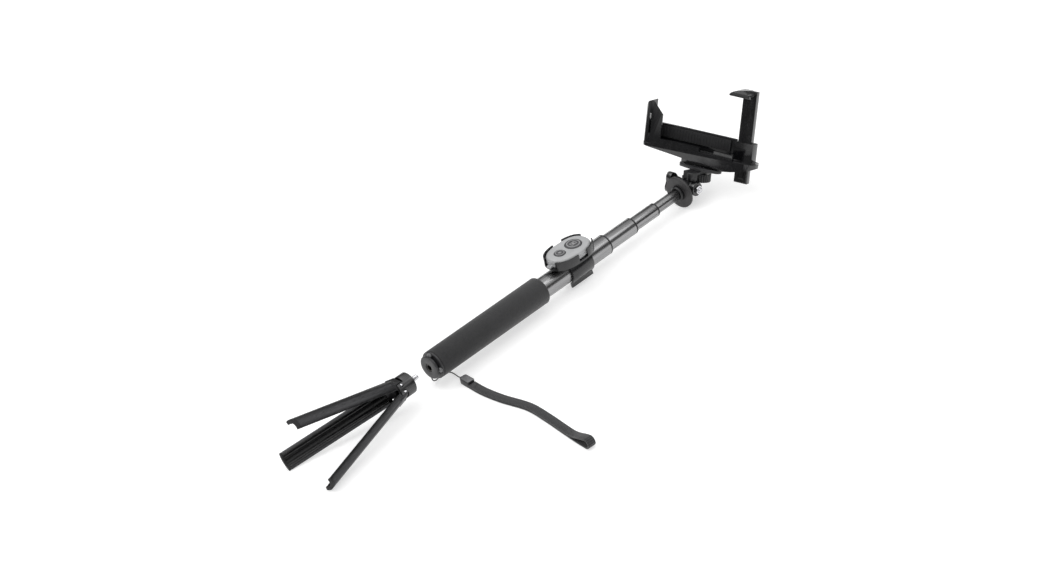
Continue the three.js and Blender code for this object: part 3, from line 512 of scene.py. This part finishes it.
def bars(name, m, rows, look, body, half=0.9, tall=0.55):
    """Half-round ribs: each row is a start point, its length vector and its outward normal."""
    points, faces = [], []
    for start, run_by, out in rows:
        a, u, n = Vector(start), Vector(run_by), Vector(out)
        side = u.cross(n).normalized()
        base = len(points)
        section = [(half, -0.1), *((half * math.cos(math.pi * k / 6), tall * math.sin(math.pi * k / 6))
                                   for k in range(7)), (-half, -0.1)]
        for f, k in ((0.0, 0.5), (0.02, 1.0), (0.98, 1.0), (1.0, 0.5)):
            for x, y in section:
                points.append(at(m, *(a + u * f + side * x * k + n * (y * k if y > 0 else y))))
        faces += [tuple(base + v for v in f) for f in capped(4, len(section))]
    return piece(name, points, faces, look, body)


def screw(name, m, z0, z1, radius, pitch, depth, body, replaces, count=20):
    """A rod with a helical thread and chamfered ends."""
    rows = int((z1 - z0) / pitch * 8)
    points = []
    for i in range(rows + 1):
        z = z0 + (z1 - z0) * i / rows
        lead = min(1.0, (min(z - z0, z1 - z) + 0.3) / 0.9)
        for k in range(count):
            phase = (z / pitch - k / count) % 1.0
            cut = abs(phase - 0.5) * 2
            r = radius * (0.82 + 0.18 * lead) - depth * min(1.0, cut * 1.25)
            t = 2 * math.pi * k / count
            points.append(at(m, r * math.cos(t), r * math.sin(t), z))
    return piece(name, points, capped(rows + 1, count), "steel", body, replaces)


STUD_PITCH, STUD_DEPTH = 1.27, 0.42
BOLT_PITCH, BOLT_DEPTH = 1.0, 0.35
screw("stud_thread", AXIAL, -38.6, -18, 3.1, STUD_PITCH, STUD_DEPTH, "tripod", ["tripod_stud"])
screw("bolt_thread", TILT, -21.1, 19.4, 2.85, BOLT_PITCH, BOLT_DEPTH, "neck", ["tilt_bolt"])

# leg liners: a ribbed shell inside each leg; its near-black colour is partly the leg's dark inside and
# partly painted shade in the leg's hollow
LEG_X, LEG_OUT, LEG_R_IN, LEG_LEN, SPLAY = -46, 9, 9.75, 132, math.radians(14)
LEG_START = -7
LINER_RIBS = (-50, -34, -17, 0, 17, 34, 50)
LINER_HALF_DEG = 57
LINER_GAP, LINER_THICK, RIB_SHOULDER, RIB_TALL = 0.12, 0.75, 1.2, 1.62
LINER_STOPS = (LEG_START - LEG_LEN + 0.2, LEG_START - LEG_LEN + 2.5, -70, -12.5, -12)
LEGS = ((90, "leg_up"), (210, "leg_right"), (330, "leg_left"))
for i, (deg, body) in enumerate(LEGS):
    t = math.radians(deg)
    out = AY * math.cos(t) + AZ * math.sin(t)
    lift = out * math.cos(SPLAY) + AX * math.sin(SPLAY)
    along = AX * math.cos(SPLAY) - out * math.sin(SPLAY)
    origin = STICK_O + AX * LEG_X * MM + out * LEG_OUT * MM - lift * LEG_OUT * MM
    leg = basis(origin, lift, AX.cross(out), along)
    outer = [(LEG_R_IN - LINER_GAP, a) for a in range(-LINER_HALF_DEG, LINER_HALF_DEG + 1, 3)]
    inner = []
    for a in range(LINER_HALF_DEG, -LINER_HALF_DEG - 1, -1):
        near = min(abs(a - r) for r in LINER_RIBS)
        inner.append((LEG_R_IN - (RIB_TALL if near <= 2 else RIB_SHOULDER if near == 3 else LINER_THICK), a))
    ring = [(r * math.cos(math.radians(a)), r * math.sin(math.radians(a))) for r, a in outer + inner]
    points = []
    for z in LINER_STOPS:
        points += [at(leg, x, y, z) for x, y in ring]
    piece("leg_liner_%d" % (i + 1), points, capped(5, len(ring)), "liner_painted_shade", body)

# end cap: two light grey dome pins beside the foam's rim; their light colour is partly painted highlight for
# the bright spots on them
PIN_X, PIN_OUT, PIN_R, PIN_FLAT = 3.9, 13.9, 2.8, 0.75
dome = [(PIN_R * PIN_FLAT * math.cos(math.pi * k / 9), max(PIN_R * math.sin(math.pi * k / 9), 0.05))
        for k in range(9, -1, -1)]
for i, deg in enumerate((90, 180)):
    t = math.radians(deg)
    centre = STICK_O + (AX * PIN_X + (AY * math.cos(t) + AZ * math.sin(t)) * PIN_OUT) * MM
    pin = basis(centre, AY, AZ, AX)
    lathe("cap_pin_%d" % (i + 1), pin, dome, 20, "dome", "handle")

# button rings and marks
KEY_TOP, SUNK, PROUD = 27.9, 0.2, 0.06
for name, x, r, body in (("big", 234, 10.0, "big_key"), ("small", 212, 6.7, "small_key")):
    m = basis(STICK_O + AX * x * MM, AX, AY, AZ)
    low, high = KEY_TOP - SUNK, KEY_TOP + PROUD
    a, b = r * 0.66, r * 0.8
    lathe(name + "_ring", m, [(low, a), (low, b), (high, b - 0.12), (high, a + 0.12), (low, a)], 40,
          "icon", body)
    lathe(name + "_dot", m, [(low, r * 0.16), (high, r * 0.16), (KEY_TOP + 0.1, r * 0.1)], 20,
          "icon", body)
    w, h, t = r * 0.4, r * 0.28, r * 0.09
    if name == "big":
        outline = [(w, h), (-w, h), (-w, -h), (w, -h)]
        inside = [(w - t, h - t), (-w + t, h - t), (-w + t, -h + t), (w - t, -h + t)]
    else:
        turns = [math.pi * q / 8 for q in range(16)]
        outline = [(h * 1.1 * math.cos(k), h * 1.1 * math.sin(k)) for k in turns]
        inside = [(p * 0.74, q * 0.74) for p, q in outline]
    count = len(outline)
    mark = ((low, outline), (KEY_TOP + 0.08, outline), (KEY_TOP + 0.08, inside), (low, inside))
    points = [at(m, p, q, z) for z, loop in mark for p, q in loop]
    faces = [(i * count + k, i * count + (k + 1) % count, (i + 1) % 4 * count + (k + 1) % count,
              (i + 1) % 4 * count + k) for i in range(4) for k in range(count)]
    piece(name + "_mark", points, faces, "icon", body)

# ribbed rubber on the pads: first start point, spacing vector, how many, length vector, outward normal
PAD_RIBS = (
    ("floor_ribs", "cradle", (-55, -4.2, 39.9), (4, 0, 0), 23, (0, 9, 0), (0, 0, 1)),
    ("arm_ribs", "cradle", (-71.4, -4.2, 44), (0, 0, 3), 10, (0, 7.2, 0), (1, 0, 0)),
    ("back_ribs", "cradle", (-63, -4.1, 47), (4, 0, 0), 25, (0, 0, 12), (0, 1, 0)),
    ("hook_ribs", "clamp", (42, -4.2, 116.4), (3, 0, 0), 5, (0, 9.2, 0), (0, 0, -1)),
)
for name, body, first, step, count, run_by, out in PAD_RIBS:
    bars(name, CRADLE, [(Vector(first) + Vector(step) * k, run_by, out) for k in range(count)],
         "rubber", body)

# slider: a lighter top plate with three grip ridges
SLIDER_M = basis(at(FLOOR, SLIDER_C.x, SLIDER_C.y, 0), Vector((SLIDER_D.x, SLIDER_D.y, 0)),
                 Vector((-SLIDER_D.y, SLIDER_D.x, 0)), Vector((0, 0, 1)))
plate = [(5.2, 2.0, 2.4, 0), (-6.0, 2.6, 1.7, 90), (-6.0, -2.6, 1.7, 180), (5.2, -2.0, 2.4, 270)]
plate = [(x + r * math.cos(math.radians(a + k * 22.5)), y + r * math.sin(math.radians(a + k * 22.5)))
         for x, y, r, a in plate for k in range(5)]
points = []
for z, k in ((6.8, 1.0), (7.25, 1.0), (7.45, 0.955)):
    points += [at(SLIDER_M, x * k, y * k, z) for x, y in plate]
piece("slider_plate", points, capped(3, len(plate)), "slider", "handle")
bars("slider_ridges", SLIDER_M, [((x, -3.1, 7.4), (0, 6.2, 0), (0, 0, 1)) for x in (-4.2, -1.4, 1.4)],
     "slider", "handle", 0.45, 0.4)

# stitches: edge rows, and a bar tack at the slider and where the plies part
STITCH_STEP, STITCH_R, TACK_STEP = 3, 0.16, 1.4
STITCH_ARCH = ((-1, 4.12), (-0.8, 4.34), (0, 4.42), (0.8, 4.34), (1, 4.12))
stitches = [(2 + STITCH_STEP * k, w, 1, 0) for w in (-3.5, 3.5)
            for k in range(int((flat_len - 4) / STITCH_STEP))]
stitches += [(first + TACK_STEP * q, w, 0, 1) for first in (flat_len - 1, 4) for q in range(3)
             for w in (-3, -1, 1, 3)]
points, faces = [], []
for s, w, ds, dw in stitches:
    base = len(points)
    for f, z in STITCH_ARCH:
        for k in range(6):
            t = math.pi * k / 3
            across = STITCH_R * math.cos(t)
            lift = STITCH_R * math.sin(t)
            points.append(strap_point(s + ds * f + dw * across, w + dw * f * 0.85 + ds * across, z + lift))
    faces += [tuple(base + v for v in f) for f in capped(5, 6)]
piece("strap_stitches", points, faces, "thread", "handle")

# ---- stage and light ----
FLOOR_SIZE, FLOOR_DROP = 12, 0.0002
bpy.ops.mesh.primitive_plane_add(size=FLOOR_SIZE, location=(0, 0, -FLOOR_DROP))
ground = bpy.context.object
ground.name = "floor"
gm, gt, gb = tree("m_floor")
link(gt, two_tone(gt, noise(gt, coords(gt), 0.7, 2), (0.58, 0.58, 0.58), (0.6, 0.6, 0.6)),
     gb.inputs["Base Color"])
link(gt, remap(gt, noise(gt, coords(gt), 3, 2), 0.85, 0.95), gb.inputs["Roughness"])
gb.inputs["Emission Color"].default_value = (1, 1, 1, 1)
gb.inputs["Emission Strength"].default_value = 0.55
ground.data.materials.append(gm)

world = bpy.data.worlds.new("studio")
bpy.context.scene.world = world
world.use_nodes = True
wt = world.node_tree
sky = wt.nodes.new("ShaderNodeTexCoord")
split = wt.nodes.new("ShaderNodeSeparateXYZ")
back = wt.nodes["Background"]
link(wt, sky.outputs["Generated"], split.inputs[0])
back.inputs["Color"].default_value = (1, 1, 1, 1)
SKY_LOW, SKY_HIGH = 0.12, 1.45
link(wt, remap(wt, split.outputs["Z"], SKY_LOW, SKY_HIGH, 0.25, 0.95), back.inputs["Strength"])


def area(name, where, aim, size, power):
    light = bpy.data.lights.new(name, "AREA")
    light.shape = "RECTANGLE"
    light.size, light.size_y = size
    light.energy = power
    o = bpy.data.objects.new(name, light)
    bpy.context.scene.collection.objects.link(o)
    o.location = where
    o.rotation_euler = (Vector(aim) - Vector(where)).to_track_quat("-Z", "Y").to_euler()


area("key", (-0.6, 0.9, 2.2), (0, 0, 0), (1.6, 1.2), 13)
area("fill", (-1.6, -1.8, 1.1), (0, 0, 0.05), (1.4, 1.0), 4)
area("rim", (1.6, -0.6, 1.4), (0, 0, 0.05), (0.8, 1.2), 5)
bpy.context.scene.view_settings.view_transform = "Standard"
